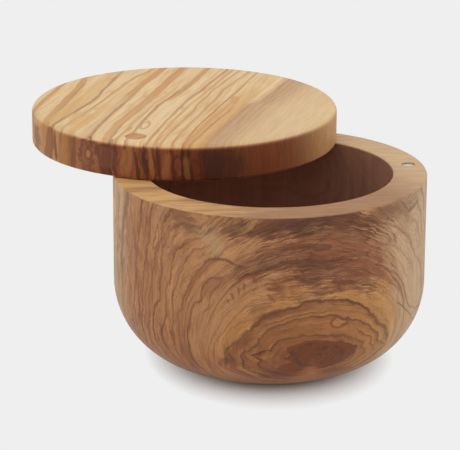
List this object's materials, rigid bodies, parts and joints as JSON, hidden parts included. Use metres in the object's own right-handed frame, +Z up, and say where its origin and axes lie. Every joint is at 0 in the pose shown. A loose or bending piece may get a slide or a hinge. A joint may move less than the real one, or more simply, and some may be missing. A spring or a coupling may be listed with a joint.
{
  "type": "salt box with swivel lid",
  "caption": "Round turned wooden salt box with a thick flat rim and a disc lid that swivels level on an upright pivot in the rim and shuts on a magnet catch.",
  "frame": {"origin": "centre of the flat foot", "axes": "+Z up along the bowl's turning axis; -X towards the lid's pivot; +Y towards the side that the lid is swung to"},
  "size_m": [0.1505, 0.1671, 0.0879],
  "materials": {
    "bowl_wood": "oiled, fine sanded, figured hardwood",
    "lid_wood": "oiled, fine sanded, figured hardwood",
    "plug_wood": "oiled face grain, sanded flush",
    "screw_steel": "zinc plated",
    "washer_brass": "satin",
    "washer_nylon": "matte, dark",
    "magnet_nickel": "nickel plated"
  },
  "bodies": {
    "base": {"bowl": "bowl_wood", "rim_magnet": "magnet_nickel", "pivot_screw": "screw_steel", "spacer_washer": "washer_nylon"},
    "lid": {"lid": "lid_wood", "lid_magnet": "magnet_nickel", "head_washer": "washer_brass", "pivot_plug": "plug_wood"}
  },
  "joints": [
    {"name": "lid_swivel", "type": "hinge", "parent": "base", "child": "lid", "pos_m": [-0.05125, 0, 0.0739], "axis": [0, 0, 1], "continuous": true}
  ]
}
